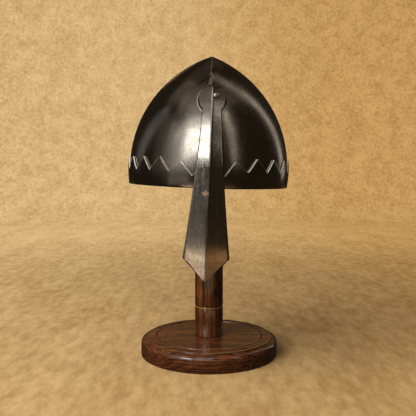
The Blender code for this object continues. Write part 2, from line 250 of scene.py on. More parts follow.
# %% Make the skull
SKULL_COLUMNS = 72
SKULL_ROWS = 64
BELLY_ROWS = 8
BEAD_HEIGHT = 0.00035
BEAD_SINK = 0.3 * BEAD_HEIGHT
BEAD_HALF = 0.0011
BEAD_RIPPLE = 320
DENT_DEPTH = 0.00007
WIDE_DENTS = 28
NARROW_DENTS = 70
DENTS_BELOW = 0.4
CALM_CROWN = 0.012


def skull_level(up):
    row = round(up * SKULL_ROWS)
    if row < BELLY_ROWS:
        return BELLY_HEIGHT * row / BELLY_ROWS
    turn = math.pi / 2 * (row - BELLY_ROWS) / (SKULL_ROWS - BELLY_ROWS)
    return BELLY_HEIGHT + CROWN_RISE * math.sin(turn) ** (2 / SIDE_POWER)


def skull_place(across, up):
    level = skull_level(up)
    if up > 1 - 0.5 / SKULL_ROWS:
        return Vector((0, 0, CROWN_HEIGHT))
    even = 2 * across - 1
    along = max(min(1.5 * even - 0.5 * even**3, 1), -1)
    if abs(abs(along) - 1) < 1e-6:
        along = math.copysign(1, along)
    point = skull_point(level, along)
    waves = noise.noise(point * WIDE_DENTS) + 0.5 * noise.noise(point * NARROW_DENTS)
    sink = DENT_DEPTH * min(0, waves - DENTS_BELOW)
    bead = BEAD_HEIGHT * math.exp(-((point.x / BEAD_HALF) ** 2))
    bead *= 0.75 + 0.5 * noise.noise(Vector((0, point.y, point.z)) * BEAD_RIPPLE)
    away_from_crown = min(1, half_width(level) / CALM_CROWN)
    return skull_point(level, along, (sink + bead - BEAD_SINK) * away_from_crown)


skull = beat_sheet("skull_bowl", SKULL_COLUMNS, SKULL_ROWS, skull_place)
apply_modifier(skull, "MIRROR", merge_threshold=MERGE_DISTANCE)
face_outwards(skull)
apply_modifier(
    skull,
    "SOLIDIFY",
    thickness=SKULL_WALL - BEAD_SINK,
    offset=-1,
    use_quality_normals=True,
    material_offset=1,
)
report_piece(skull)

# %% [markdown]
# ## The brow band
# A strip of steel runs round the rim. Its upper edge is sawn into teeth that lean: the side of a
# tooth that faces the nasal is a little shorter. The teeth are marked off along the strip first,
# as a maker would with dividers, and only then is the strip wrapped round the bowl. The sides
# that face the nasal get a pale, barely metallic finish: filed steel, and a painted highlight for
# the bright line they show. The other sides keep the dull brown of the saw. The script tells the
# cut faces apart by where they look: down, towards the nasal or away from it.

# %% Mark off the teeth
BAND_WALL = 0.0015
BAND_GAP = 0.0004
BAND_FOOT = 0.0006
TOOTH_ROOT = 0.018
TOOTH_TIP = 0.033
TOOTH_PITCH = 0.029
TOOTH_LEAN = 0.43
FRONT_TOOTH_HALF = 0.0176
FRONT_ROOT_DROP = 0.0046
FRONT_TIP_DROP = 0.004


def lengths_along(level, proud, samples=400):
    """[(length along the section from the brow, along)] for one side."""
    places = [2 * i / samples - 1 for i in range(samples + 1)]
    points = [skull_point(level, along, proud) for along in places]
    total = 0
    table = [(0, places[0])]
    for before, after, along in zip(points, points[1:], places[1:]):
        total += (after - before).xy.length
        table.append((total, along))
    return table


def along_at(length, table):
    for (low, start), (high, end) in zip(table, table[1:]):
        if length <= high:
            return start + (end - start) * (length - low) / (high - low)
    return 1


def tooth_line(half_girth):
    """[(length from the brow, level of the upper edge)] at each notch and tip."""
    count = round((half_girth - FRONT_TOOTH_HALF) / TOOTH_PITCH)
    pitch = (half_girth - FRONT_TOOTH_HALF) / count
    line = [(0, TOOTH_TIP)]
    for tooth in range(count):
        notch = FRONT_TOOTH_HALF + pitch * tooth
        beside_nasal = tooth == 0
        line.append((notch, TOOTH_ROOT - FRONT_ROOT_DROP * beside_nasal))
        line.append((notch + pitch * TOOTH_LEAN, TOOTH_TIP - FRONT_TIP_DROP * beside_nasal))
    return line + [(half_girth, TOOTH_ROOT)]


girth_table = lengths_along(TOOTH_ROOT, BAND_GAP)
teeth = tooth_line(girth_table[-1][0])
print("Teeth on each side:", len(teeth) // 2 - 1)

# %% Wrap the band round the bowl
FLANK_STEPS = 6
BAND_ROWS = 10
BAND_EDGE = 0.0004
FILED_HIGHLIGHT, SAWN = 1, 2

marks = []
for (start, low), (end, high) in zip(teeth, teeth[1:]):
    for step in range(FLANK_STEPS):
        share = step / FLANK_STEPS
        length = start + (end - start) * share
        marks.append((along_at(length, girth_table), low + (high - low) * share))
marks.append((1, teeth[-1][1]))
marks[0] = (-1, teeth[0][1])


def band_place(across, up):
    along, top = marks[round(across * (len(marks) - 1))]
    level = BAND_FOOT + (top - BAND_FOOT) * up
    return skull_point(level, along, BAND_GAP)


band = beat_sheet("band_strip", len(marks) - 1, BAND_ROWS, band_place)
apply_modifier(band, "MIRROR", merge_threshold=MERGE_DISTANCE)
face_outwards(band)
apply_modifier(
    band,
    "SOLIDIFY",
    thickness=BAND_WALL,
    offset=1,
    use_even_offset=True,
    use_quality_normals=True,
    material_offset_rim=FILED_HIGHLIGHT,
)
apply_modifier(
    band,
    "BEVEL",
    width=BAND_EDGE,
    segments=2,
    limit_method="ANGLE",
    angle_limit=EDGE_ANGLE,
    material=FILED_HIGHLIGHT,
)
# The pale finish with its painted highlight goes on the cut faces that look towards the nasal.
for face in band.data.polygons:
    if face.material_index == 0:
        continue
    if face.normal.z < -0.1:
        face.material_index = 0
    elif face.normal.x * face.center.x > 0:
        face.material_index = SAWN
report_piece(band)

# %% [markdown]
# ## The nasal
# The nose guard is one long plate, folded down its middle. It starts as a round lobe under the
# rivet, narrows to a neck, widens to two corners below the nose, and ends in a point. Its outline
# is a formula of the level alone. The fold gets a small radius, as a real fold has, and this
# catches the thin bright line that runs down it. Below the bend level the plate is bent back a
# little, so its end mirrors the floor while the rest mirrors the dark room. The edges get a
# near-black steel: a painted shadow of the gap between the plate and the skull.

# %% Make the nasal
NASAL_WALL = 0.002
NASAL_GAP = 0.0004
NASAL_SLOPE = math.tan(math.radians(20))
LOBE_RADIUS = 0.0147
LOBE_LEVEL = 0.0956
NECK_HALF = 0.010
CORNER_HALF = 0.0248
CORNER_LEVEL = -0.0748
TIP_LEVEL = -0.0993
WIDENING = 1.3
FLARE = 0.0035
SETTLE = 0.025
SIDE_SET = 0.0018
BAND_PROUD = BAND_GAP + BAND_WALL
NECK_LEVEL = LOBE_LEVEL - math.sqrt(LOBE_RADIUS**2 - NECK_HALF**2)
FOLD_RADIUS = 0.0004
TIP_BEND = 0.065
BEND_LEVEL = -0.063
BEND_HALF = 0.008
NASAL_DENT = 0.00005
NASAL_WIDE_DENTS = 60
NASAL_NARROW_DENTS = 150
NASAL_DENTS_BELOW = 0.2


def nasal_half_width(level):
    if level < CORNER_LEVEL:
        return CORNER_HALF * max((level - TIP_LEVEL) / (CORNER_LEVEL - TIP_LEVEL), 0)
    if level >= NECK_LEVEL:
        return math.sqrt(max(LOBE_RADIUS**2 - (level - LOBE_LEVEL) ** 2, 0))
    down = (NECK_LEVEL - level) / (NECK_LEVEL - CORNER_LEVEL)
    return NECK_HALF + (CORNER_HALF - NECK_HALF) * down**WIDENING


def nasal_side_set(level):
    return SIDE_SET * (level - TIP_LEVEL) / (LOBE_LEVEL - TIP_LEVEL)


def tip_bend(below):
    """How far the plate has bent back, a length below the bend."""
    if below < -BEND_HALF:
        return 0
    if below < BEND_HALF:
        return TIP_BEND * (below + BEND_HALF) ** 2 / (4 * BEND_HALF)
    return TIP_BEND * below


def nasal_ridge(level):
    """How far forward the back of the fold lies."""
    if level < BELLY_HEIGHT:
        down = (BELLY_HEIGHT - level) / (BELLY_HEIGHT - TIP_LEVEL)
        return nasal_ridge(BELLY_HEIGHT) + FLARE * down**2 - tip_bend(BEND_LEVEL - level)
    above = min(max((level - TOOTH_TIP) / SETTLE, 0), 1)
    proud = BAND_PROUD * (1 - above**2 * (3 - 2 * above))
    side = nasal_side_set(level)
    edge = nasal_half_width(level)
    needed = [
        front_reach(side + edge * share, level, proud) + NASAL_SLOPE * edge * abs(share)
        for share in (-1, -0.5, 0, 0.5, 1)
    ]
    return max(needed) + NASAL_GAP


def nasal_back(level, from_ridge):
    y = NASAL_SLOPE * math.hypot(from_ridge, FOLD_RADIUS) - nasal_ridge(level)
    height = level - RIM_DIP * (1 - level / CROWN_HEIGHT) if level > 0 else level - RIM_DIP
    return Vector((nasal_side_set(level) + from_ridge, y, height))


POINT_ROWS = 14
SHAFT_ROWS = 90
LOBE_ROWS = 24
NASAL_COLUMNS = 24
COLUMN_CROWDING = 1.7
NASAL_EDGE = 0.0007


def nasal_levels():
    point = [TIP_LEVEL + (CORNER_LEVEL - TIP_LEVEL) * i / POINT_ROWS for i in range(POINT_ROWS)]
    shaft = [
        CORNER_LEVEL + (NECK_LEVEL - CORNER_LEVEL) * i / SHAFT_ROWS for i in range(SHAFT_ROWS)
    ]
    start = math.asin((NECK_LEVEL - LOBE_LEVEL) / LOBE_RADIUS)
    turns = [start + (math.pi / 2 - start) * i / LOBE_ROWS for i in range(LOBE_ROWS + 1)]
    return point + shaft + [LOBE_LEVEL + LOBE_RADIUS * math.sin(turn) for turn in turns]


levels = nasal_levels()


def nasal_place(across, up):
    level = levels[round(up * (len(levels) - 1))]
    even = 2 * across - 1
    crowded = math.copysign(abs(even) ** COLUMN_CROWDING, even)
    point = nasal_back(level, nasal_half_width(level) * crowded)
    waves = noise.noise(point * NASAL_WIDE_DENTS) + 0.6 * noise.noise(point * NASAL_NARROW_DENTS)
    point.y -= NASAL_DENT * min(0, waves - NASAL_DENTS_BELOW)
    return point


nasal = beat_sheet("nasal_plate", NASAL_COLUMNS, len(levels) - 1, nasal_place)
# The rim and bevel faces take slot 1, a near-black steel that paints the shadow of the gap.
apply_modifier(
    nasal,
    "SOLIDIFY",
    thickness=NASAL_WALL,
    offset=1,
    use_even_offset=True,
    use_quality_normals=True,
    material_offset_rim=1,
)
apply_modifier(
    nasal,
    "BEVEL",
    width=NASAL_EDGE,
    segments=2,
    use_clamp_overlap=False,
    limit_method="ANGLE",
    angle_limit=EDGE_ANGLE,
    material=1,
)
report_piece(nasal)

# %% [markdown]
# ## Turned pieces
# A turner cuts a profile into spinning wood, and the Spin tool does the same. One point is
# extruded from place to place until it has drawn the profile, and the profile is spun round the
# z axis. Points on the axis come out many times over, so they are merged, and the normals are
# set outwards.


# %% The lathe
def turn_on_lathe(name, profile, steps):
    """Spins a profile of (radius, height) round the z axis."""
    deselect_all()
    bpy.ops.mesh.primitive_plane_add(size=0.01)
    piece = bpy.context.object
    piece.name = piece.data.name = name
    bpy.ops.object.mode_set(mode="EDIT")
    bpy.ops.mesh.select_all(action="SELECT")
    bpy.ops.mesh.merge(type="CENTER")
    radius, height = profile[0]
    bpy.ops.transform.translate(value=(radius, 0, height))
    for (radius, height), (next_radius, next_height) in zip(profile, profile[1:]):
        move = (next_radius - radius, 0, next_height - height)
        bpy.ops.mesh.extrude_region_move(TRANSFORM_OT_translate={"value": move})
    bpy.ops.mesh.select_all(action="SELECT")
    bpy.ops.mesh.spin(steps=steps, angle=math.tau, center=(0, 0, 0), axis=(0, 0, 1))
    bpy.ops.mesh.select_all(action="SELECT")
    bpy.ops.mesh.remove_doubles(threshold=MERGE_DISTANCE)
    bpy.ops.mesh.normals_make_consistent(inside=False)
    bpy.ops.object.mode_set(mode="OBJECT")
    return piece


def arc(radius, height, size, start, end, steps):
    """Points of an arc round (radius, height), between two angles in degrees."""
    turns = [math.radians(start + (end - start) * i / steps) for i in range(steps + 1)]
    return [(radius + size * math.cos(a), height + size * math.sin(a)) for a in turns]


# %% [markdown]
# ## The rivet
# One domed rivet goes through the lobe and the skull, a little to the right of the fold. Its tail
# is hammered flat inside. The rivet is turned upright and then laid along the normal of the
# nasal's right half. The holes for its shank are cut with a cylinder, through both plates.

# %% Make the rivet
RIVET_HEAD_RADIUS = 0.0037
RIVET_HEAD_HEIGHT = 0.0027
RIVET_SHANK_RADIUS = 0.0018
RIVET_BUTT_RADIUS = 0.0031
RIVET_BUTT_HEIGHT = 0.001
RIVET_LEVEL = 0.0987
RIVET_FROM_RIDGE = 0.0031
RIVET_GAP = 0.0003
RIVET_PLAY = 0.0006
RIVET_STEPS = 40
DRILL_SIDES = 32
STEP = 0.00001

rivet_back = nasal_back(RIVET_LEVEL, RIVET_FROM_RIDGE)
across_plate = nasal_back(RIVET_LEVEL, RIVET_FROM_RIDGE + STEP) - rivet_back
up_plate = nasal_back(RIVET_LEVEL + STEP, RIVET_FROM_RIDGE) - rivet_back
rivet_normal = across_plate.cross(up_plate).normalized()
behind = -rivet_back.y - front_reach(rivet_back.x, RIVET_LEVEL)
grip = NASAL_WALL + behind * abs(rivet_normal.y) + SKULL_WALL + RIVET_PLAY + RIVET_GAP

dome_radius = (RIVET_HEAD_RADIUS**2 + RIVET_HEAD_HEIGHT**2) / (2 * RIVET_HEAD_HEIGHT)
dome_edge = math.degrees(math.asin((dome_radius - RIVET_HEAD_HEIGHT) / dome_radius))
profile = [(0, RIVET_HEAD_HEIGHT)]
profile += arc(0, RIVET_HEAD_HEIGHT - dome_radius, dome_radius, 90, dome_edge, 12)[1:]
profile += [
    (RIVET_SHANK_RADIUS, 0),
    (RIVET_SHANK_RADIUS, -grip),
    (RIVET_BUTT_RADIUS, -grip),
    (RIVET_SHANK_RADIUS, -grip - RIVET_BUTT_HEIGHT),
    (0, -grip - RIVET_BUTT_HEIGHT),
]
rivet = turn_on_lathe("rivet_dome", profile, RIVET_STEPS)
rivet_front = rivet_back + rivet_normal * (NASAL_WALL + RIVET_GAP)
along_normal = rivet_normal.to_track_quat("Z", "Y").to_matrix().to_4x4()
rivet_place = Matrix.Translation(rivet_front) @ along_normal
rivet.data.transform(rivet_place)

# %% Drill for the rivet
deselect_all()
bpy.ops.mesh.primitive_cylinder_add(
    vertices=DRILL_SIDES, radius=RIVET_SHANK_RADIUS + RIVET_GAP, depth=4 * grip
)
drill = bpy.context.object
drill.data.transform(rivet_place)
for plate in (skull, nasal):
    apply_modifier(plate, "BOOLEAN", object=drill, operation="DIFFERENCE", solver="EXACT")
bpy.data.objects.remove(drill)

for piece, sharp_angle in ((skull, 28), (band, 35), (nasal, 25), (rivet, 40)):
    piece.data.transform(on_stand)
    shade(piece, sharp_angle)
    report_piece(piece)

# %% [markdown]
# ## The base
# The foot of the stand is a turned disc. From the axis outwards its top has the socket for the
# post, a flat plateau with one fine groove, a small rounded step down, and a round shoulder. Sharp
# corners don't exist on sanded wood, so each corner of the profile is a short arc. Extra points
# on the flat and the straight stretches keep the faces from growing long and thin.

# %% Turn the base
BASE_RADIUS = 0.086
BASE_HEIGHT = 0.0226
BASE_SHOULDER = 0.0065
BASE_FOOT_ROUND = 0.0015
PLATEAU_RADIUS = 0.079
PLATEAU_STEP = 0.0016
GROOVE_RADIUS = 0.0665
GROOVE_HALF = 0.0014
GROOVE_FACING = 0.0004
PLATEAU_LIP = 0.0009
TENON_RADIUS = 0.010
TENON_LENGTH = 0.014
FIT_GAP = 0.0003
LATHE_STEPS = 128

socket_radius = TENON_RADIUS + FIT_GAP
socket_depth = TENON_LENGTH + FIT_GAP
shoulder_height = BASE_HEIGHT - PLATEAU_STEP - BASE_SHOULDER
profile = [(0, BASE_HEIGHT - socket_depth), (socket_radius, BASE_HEIGHT - socket_depth)]
profile += [(socket_radius, BASE_HEIGHT), (0.03, BASE_HEIGHT), (0.05, BASE_HEIGHT)]
profile += [(GROOVE_RADIUS - GROOVE_HALF - GROOVE_FACING, BASE_HEIGHT)]
profile += arc(GROOVE_RADIUS, BASE_HEIGHT, GROOVE_HALF, 180, 360, 8)
profile += [(GROOVE_RADIUS + GROOVE_HALF + GROOVE_FACING, BASE_HEIGHT)]
profile += arc(PLATEAU_RADIUS - PLATEAU_LIP, BASE_HEIGHT - PLATEAU_LIP, PLATEAU_LIP, 90, 0, 5)
profile += [(PLATEAU_RADIUS, BASE_HEIGHT - PLATEAU_STEP)]
profile += arc(BASE_RADIUS - BASE_SHOULDER, shoulder_height, BASE_SHOULDER, 90, 0, 14)[1:]
profile += [(BASE_RADIUS, BASE_HEIGHT / 3)]
profile += arc(BASE_RADIUS - BASE_FOOT_ROUND, BASE_FOOT_ROUND, BASE_FOOT_ROUND, 0, -90, 5)
profile += [(0.04, 0), (0, 0)]
base = turn_on_lathe("base_disc", profile, LATHE_STEPS)
shade(base, 40)
report_piece(base)

# %% [markdown]
# ## The post and its ring
# The post is two lengths of dowel with a thin brass ring between them. Each length ends in a
# tenon, so that the stand can be taken apart. The ring is a hair narrower than the wood.

# %% Turn the post and its ring
POST_RADIUS = 0.0177
POST_ROUND = 0.0006
RING_LEVEL = 0.0585
RING_THICKNESS = 0.0015
RING_INSET = 0.0008
RING_ROUND = 0.0003
STAND_HEAD_SKIRT = 0.008
STAND_HEAD_UNDERCUT = 0.006
POST_STEPS = 96
HEAD_UNDERSIDE = HEAD_HEIGHT - STAND_HEAD_SKIRT - STAND_HEAD_UNDERCUT

inner_edge = POST_RADIUS - POST_ROUND
low_foot = BASE_HEIGHT + FIT_GAP
low_top = RING_LEVEL - FIT_GAP
profile = [(0, low_top + TENON_LENGTH), (TENON_RADIUS, low_top + TENON_LENGTH)]
profile += [(TENON_RADIUS, low_top)]
profile += arc(inner_edge, low_top - POST_ROUND, POST_ROUND, 90, 0, 4)
profile += [(POST_RADIUS, 0.045), (POST_RADIUS, 0.034)]
profile += arc(inner_edge, low_foot + POST_ROUND, POST_ROUND, 0, -90, 3)
profile += [(TENON_RADIUS, low_foot), (TENON_RADIUS, low_foot - TENON_LENGTH)]
profile += [(0, low_foot - TENON_LENGTH)]
post_low = turn_on_lathe("post_length_low", profile, POST_STEPS)

ring_outer = POST_RADIUS - RING_INSET
ring_top = RING_LEVEL + RING_THICKNESS
profile = [(socket_radius, ring_top)]
profile += arc(ring_outer - RING_ROUND, ring_top - RING_ROUND, RING_ROUND, 90, 0, 3)
profile += arc(ring_outer - RING_ROUND, RING_LEVEL + RING_ROUND, RING_ROUND, 0, -90, 3)
profile += [(socket_radius, RING_LEVEL), (socket_radius, ring_top)]
ring = turn_on_lathe("brass_ring", profile, POST_STEPS)

high_foot = ring_top + FIT_GAP
high_top = HEAD_UNDERSIDE - FIT_GAP
profile = [(0, high_top + TENON_LENGTH), (TENON_RADIUS, high_top + TENON_LENGTH)]
profile += [(TENON_RADIUS, high_top)]
profile += arc(inner_edge, high_top - POST_ROUND, POST_ROUND, 90, 0, 3)
profile += [(POST_RADIUS, 0.25), (POST_RADIUS, 0.19), (POST_RADIUS, 0.13), (POST_RADIUS, 0.08)]
profile += arc(inner_edge, high_foot + POST_ROUND, POST_ROUND, 0, -90, 4)
profile += [(socket_radius, high_foot), (socket_radius, high_foot + socket_depth)]
profile += [(0, high_foot + socket_depth)]
post_high = turn_on_lathe("post_length_high", profile, POST_STEPS)

# %% [markdown]
# ## The stand's head
# The dome that carries the helmet is hidden in the bowl. Someone who picks the helmet up will
# see it, so it is turned as cleanly as the rest.

# %% Turn the stand's head
skirt = HEAD_HEIGHT - STAND_HEAD_SKIRT
profile = [(0, HEAD_HEIGHT + STAND_HEAD_RADIUS)]
profile += arc(0, HEAD_HEIGHT, STAND_HEAD_RADIUS, 90, 0, 24)[1:]
profile += [(STAND_HEAD_RADIUS, skirt)]
profile += [(STAND_HEAD_RADIUS - STAND_HEAD_UNDERCUT, HEAD_UNDERSIDE)]
profile += [(socket_radius, HEAD_UNDERSIDE), (socket_radius, HEAD_UNDERSIDE + socket_depth)]
profile += [(0, HEAD_UNDERSIDE + socket_depth)]
head = turn_on_lathe("head_dome", profile, POST_STEPS)
for piece in (post_low, ring, post_high, head):
    shade(piece, 40)
    report_piece(piece)

# %% [markdown]
# ## Helpers for finishes
# A finish is a small tree of nodes. Each node is added with its settings and with what feeds its
# sockets, so that a finish below reads from the place on the piece to the colour.


# %% Build a node tree
def new_finish(name):
    finish = bpy.data.materials.new(name)
    finish.use_nodes = True
    return finish


def add_node(finish, kind, sockets=(), **settings):
    """A shader node. sockets is a list of (socket, value or the output that feeds it)."""
    node = finish.node_tree.nodes.new("ShaderNode" + kind)
    for setting, value in settings.items():
        setattr(node, setting, value)
    for socket, value in sockets:
        if isinstance(value, bpy.types.NodeSocket):
            finish.node_tree.links.new(value, node.inputs[socket])
        else:
            node.inputs[socket].default_value = value
    return node


def shader_of(finish, sockets):
    shader = finish.node_tree.nodes["Principled BSDF"]
    for socket, value in sockets:
        if isinstance(value, bpy.types.NodeSocket):
            finish.node_tree.links.new(value, shader.inputs[socket])
        else:
            shader.inputs[socket].default_value = value


def place_of(finish, location=(0, 0, 0), rotation=(0, 0, 0), scale=(1, 1, 1), start=None):
    """Object coordinates, moved, turned and stretched."""
    if start is None:
        start = add_node(finish, "TexCoord").outputs["Object"]
    sockets = [("Vector", start), ("Location", location)]
    sockets += [("Rotation", rotation), ("Scale", scale)]
    return add_node(finish, "Mapping", sockets).outputs["Vector"]


def cloud(finish, place, scale, detail=3, roughness=0.5, distortion=0):
    sockets = [("Vector", place), ("Scale", scale), ("Detail", detail)]
    sockets += [("Roughness", roughness), ("Distortion", distortion)]
    return add_node(finish, "TexNoise", sockets).outputs["Fac"]


def spread(finish, value, low, high, to_low=0, to_high=1, curve="LINEAR"):
    """Maps low..high of a value to to_low..to_high."""
    sockets = [("Value", value), ("From Min", low), ("From Max", high)]
    sockets += [("To Min", to_low), ("To Max", to_high)]
    return add_node(finish, "MapRange", sockets, interpolation_type=curve).outputs["Result"]


def combine(finish, operation, first, second=0.0, third=0.0):
    sockets = [(0, first), (1, second), (2, third)]
    return add_node(finish, "Math", sockets, operation=operation).outputs[0]


def add_share(finish, value, mask, share):
    """The value, raised by a share of the mask."""
    return combine(finish, "MULTIPLY_ADD", mask, share, value)


def distance_from_middle(finish, place):
    return add_node(finish, "VectorMath", [(0, place)], operation="LENGTH").outputs["Value"]


def blend_colour(finish, share, first, second, mode="MIX"):
    node = add_node(finish, "Mix", data_type="RGBA", blend_type=mode)
    for socket, value in ((0, share), (6, first), (7, second)):
        if isinstance(value, bpy.types.NodeSocket):
            finish.node_tree.links.new(value, node.inputs[socket])
        else:
            node.inputs[socket].default_value = value
    return node.outputs[2]


def colour_ramp(finish, value, stops):
    ramp = add_node(finish, "ValToRGB", [(0, value)])
    while len(ramp.color_ramp.elements) < len(stops):
        ramp.color_ramp.elements.new(0.5)
    for element, (position, colour) in zip(ramp.color_ramp.elements, stops):
        element.position = position
        element.color = (*colour, 1)
    return ramp.outputs["Color"]


def bump(finish, height, strength, distance, under=None):
    sockets = [("Height", height), ("Strength", strength), ("Distance", distance)]
    if under is not None:
        sockets.append(("Normal", under))
    return add_node(finish, "Bump", sockets).outputs["Normal"]


# %% [markdown]
# ## Polished steel
# Steel has no colour of its own to speak of: what one sees in it are the lights. What makes it
# look real is how evenly it mirrors. Fine scratches from the polishing wheel, cloudy stains and
# shallow hammer marks change its roughness from place to place, so a highlight breaks up. The
# skull also shows its brown weld. Round the lobe its colour carries a painted shadow against the
# lobe's edge and a painted highlight, a pale ring beside it. The nasal has a coppery spot, as
# heat leaves it on steel.

# %% Marks on the steel
to_helmet = on_stand.inverted()
TO_HELMET_PLACE = tuple(to_helmet.translation)
TO_HELMET_TURN = (0, -HELMET_LEAN, 0)
GRIME_COLOUR = (0.02, 0.015, 0.01, 1)
WELD_COLOUR = (0.7, 0.58, 0.42, 1)
HEAT_COLOUR = (0.6, 0.47, 0.33, 1)
# A pale colour for the painted highlight beside the lobe.
LOBE_GLINT_COLOUR = (0.85, 0.78, 0.66, 1)
# A near-black colour for the painted shadow against the lobe's edge.
LOBE_SHADOW_COLOUR = (0.02, 0.016, 0.012, 1)
SPOT_COLOUR = (0.33, 0.165, 0.065, 1)
SPOT_PLACE = (-0.004, 0.2053)
SPOT_HALF = (0.0037, 0.0027)
# Where the painted shadow ring and the painted highlight ring lie round the lobe.
LOBE_SHADOW_RADIUS = LOBE_RADIUS + 0.0005
LOBE_SHADOW_HALF = 0.0007
LOBE_GLINT_RADIUS = LOBE_RADIUS + 0.0017
LOBE_GLINT_HALF = 0.0006


def lobe_rings(finish, helmet, across, back):
    """Masks on the skull: a painted shadow against the lobe's edge, a painted highlight beside it.
    """
    centre = (-nasal_side_set(LOBE_LEVEL), 0, RIM_DIP - LOBE_LEVEL)
    radius = distance_from_middle(finish, place_of(finish, centre, scale=(1, 0, 1), start=helmet))
    front = combine(finish, "LESS_THAN", back, 0)
    # The painted shadow: a dark ring just outside the lobe, on the front only.
    lobe_shadow = combine(finish, "COMPARE", radius, LOBE_SHADOW_RADIUS, LOBE_SHADOW_HALF)
    lobe_shadow = combine(finish, "MULTIPLY", lobe_shadow, combine(finish, "MULTIPLY", front, 0.85))
    # The painted highlight: a pale ring a little further out, front only and stronger on the left.
    lobe_glint = combine(finish, "COMPARE", radius, LOBE_GLINT_RADIUS, LOBE_GLINT_HALF)
    left = spread(finish, across, 0.006, -0.009, 0.25, 0.8)
    lobe_glint = combine(finish, "MULTIPLY", lobe_glint, combine(finish, "MULTIPLY", front, left))
    return lobe_shadow, lobe_glint


def weld_and_lobe_shading(finish, helmet, colour, rough):
    """Colour and roughness with the weld, its heated zone, the lobe's painted shadow and highlight.
    """
    split = add_node(finish, "SeparateXYZ", [(0, helmet)])
    beside = combine(finish, "ABSOLUTE", split.outputs["X"])
    wander = cloud(finish, helmet, 260, detail=3)
    width = spread(finish, wander, 0.35, 0.65, 0.0002, 0.0013)
    weld = combine(finish, "LESS_THAN", beside, width)
    weld = combine(finish, "MULTIPLY", weld, spread(finish, beside, 0.003, 0.0004))
    heat = spread(finish, beside, 0.014, 0.002, curve="SMOOTHSTEP")
    heat = combine(finish, "MULTIPLY", heat, spread(finish, wander, 0.45, 0.6, 0, 0.6))
    lobe_shadow, lobe_glint = lobe_rings(finish, helmet, split.outputs["X"], split.outputs["Y"])
    for mask, tone, dulling in (
        (weld, WELD_COLOUR, 0.3),
        (heat, HEAT_COLOUR, 0.25),
        # The pale ring round the lobe is a painted highlight.
        (lobe_glint, LOBE_GLINT_COLOUR, 0.3),
    ):
        colour = blend_colour(finish, mask, colour, tone)
        rough = add_share(finish, rough, mask, dulling)
    # The dark ring round the lobe is a painted shadow.
    return blend_colour(finish, lobe_shadow, colour, LOBE_SHADOW_COLOUR), rough


def coppery_spot(finish, helmet, colour, rough, metal):
    """Colour, roughness and metal with a ragged oval of scale on the nasal."""
    (x, z), (half_x, half_z) = SPOT_PLACE, SPOT_HALF
    centre = (-x / half_x, 0, -z / half_z)
    oval = distance_from_middle(
        finish, place_of(finish, centre, scale=(1 / half_x, 0, 1 / half_z))
    )
    ragged = combine(finish, "ADD", oval, cloud(finish, helmet, 500))
    mark = spread(finish, ragged, 1.65, 1.15, 0, 0.8)
    colour = blend_colour(finish, mark, colour, SPOT_COLOUR)
    rough = combine(finish, "MAXIMUM", rough, combine(finish, "MULTIPLY", mark, 0.6))
    metal = combine(finish, "SUBTRACT", metal, combine(finish, "MULTIPLY", mark, 0.8))
    return colour, rough, metal


# %% The steel of the helmet
def make_steel(name, light, dark, polish, hammer, grime=0.0, metal=1.0, weld_and_shade=False, spot=False):
    """Steel between two tones. polish is its lowest and highest roughness."""
    finish = new_finish(name)
    helmet = place_of(finish, TO_HELMET_PLACE, TO_HELMET_TURN)
    stains = cloud(finish, helmet, 32, detail=5, roughness=0.6, distortion=0.6)
    brushed = cloud(finish, place_of(finish, scale=(1, 1, 0.05), start=helmet), 650, 2)
    crossed_place = place_of(finish, rotation=(0.5, 0.35, 0.2), scale=(1, 1, 0.04), start=helmet)
    crossed = cloud(finish, crossed_place, 480, 2)
    lines = combine(finish, "MAXIMUM", brushed, crossed)
    peen = cloud(finish, helmet, 160, detail=2, roughness=0.4)
    speck = spread(finish, cloud(finish, helmet, 900, detail=2), 0.56, 0.72)

    colour = blend_colour(finish, spread(finish, stains, 0.35, 0.68), (*dark, 1), (*light, 1))
    dirt = combine(finish, "MULTIPLY", speck, grime)
    colour = blend_colour(finish, dirt, colour, GRIME_COLOUR)
    smooth, dull = polish
    rough = spread(finish, stains, 0.3, 0.7, dull, smooth)
    rough = add_share(finish, rough, spread(finish, lines, 0.55, 0.8), 0.09)
    rough = add_share(finish, rough, speck, 0.25 * grime)
    # The weld and its heat tint are the steel's own colour. The rings round the lobe are painted
    # shadow and highlight.
    if weld_and_shade:
        colour, rough = weld_and_lobe_shading(finish, helmet, colour, rough)
    if spot:
        colour, rough, metal = coppery_spot(finish, helmet, colour, rough, metal)

    normal = bump(finish, peen, hammer, 0.0006)
    normal = bump(finish, lines, 0.03, 0.0001, normal)
    normal = bump(finish, speck, 0.35 * grime, 0.0002, normal)
    shader_of(
        finish,
        [
            ("Base Color", colour),
            ("Metallic", metal),
            ("Roughness", rough),
            ("Normal", normal),
        ],
    )
    return finish


skull_steel = make_steel(
    "skull steel",
    light=(0.47, 0.44, 0.40),
    dark=(0.32, 0.29, 0.25),
    polish=(0.12, 0.24),
    hammer=0.04,
    grime=0.25,
    weld_and_shade=True,
)
band_steel = make_steel(
    "band steel",
    light=(0.42, 0.39, 0.35),
    dark=(0.28, 0.255, 0.22),
    polish=(0.13, 0.24),
    hammer=0.04,
    grime=0.25,
)
nasal_steel = make_steel(
    "nasal steel",
    light=(0.52, 0.49, 0.45),
    dark=(0.34, 0.31, 0.275),
    polish=(0.12, 0.22),
    hammer=0.09,
    grime=0.3,
    spot=True,
)
rivet_steel = make_steel(
    "rivet steel", light=(0.85, 0.83, 0.78), dark=(0.7, 0.67, 0.62), polish=(0.3, 0.38), hammer=0.02
)
inner_steel = make_steel(
    "inner scale",
    light=(0.12, 0.10, 0.085),
    dark=(0.05, 0.042, 0.035),
    polish=(0.4, 0.6),
    hammer=0.3,
    grime=0.8,
)
print("Steel of the plates:", skull_steel.name, band_steel.name, nasal_steel.name)

# %% The steel of the cut edges
EDGE_POLISH = (0.4, 0.5)
EDGE_HAMMER = 0.05

